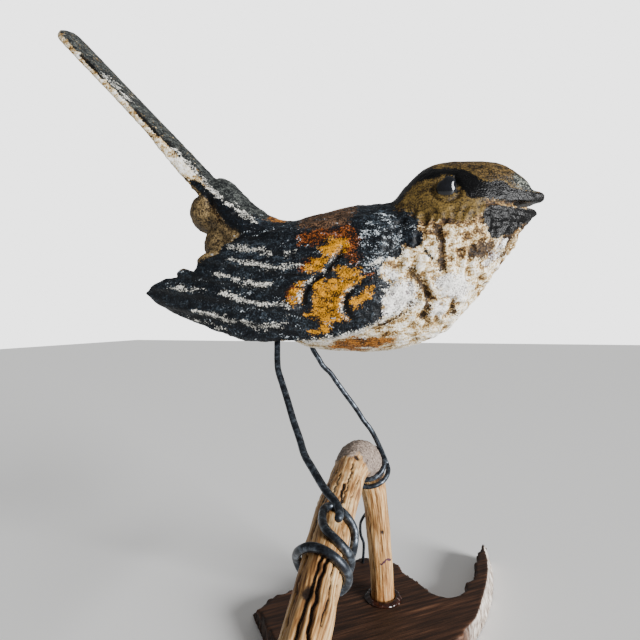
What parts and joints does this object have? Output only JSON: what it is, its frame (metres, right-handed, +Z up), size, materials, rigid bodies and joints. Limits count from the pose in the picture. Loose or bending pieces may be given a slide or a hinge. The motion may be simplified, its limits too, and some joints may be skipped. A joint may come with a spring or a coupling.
{
  "type": "carved wren on wire legs",
  "caption": "Carved wooden wren with a cocked tail, standing on stiff wire legs wound round a bent branch perch set upright in a broken wooden slab.",
  "frame": {"origin": "on the slab's underside, straight below the foot of the bent branch", "axes": "+Z up from the underside, +X the way the bird's beak points, +Y to the bird's left, which is the broken side of the slab"},
  "size_m": [0.1438, 0.1728, 0.1976],
  "materials": {
    "painted_wood": "worn paint",
    "steel_wire": "dark, slightly oxidised",
    "peeled_wood": "peeled and weathered",
    "stained_wood": "dark stain",
    "glue": "dried glue"
  },
  "bodies": {
    "root": {"wren": "painted_wood", "near_leg_wire": "steel_wire", "near_foot_tie_wire": "steel_wire", "far_leg_wire": "steel_wire", "bent_branch": "peeled_wood", "base_slab": "stained_wood", "glue_bead": "glue", "stay_wire": "steel_wire"}
  },
  "joints": []
}
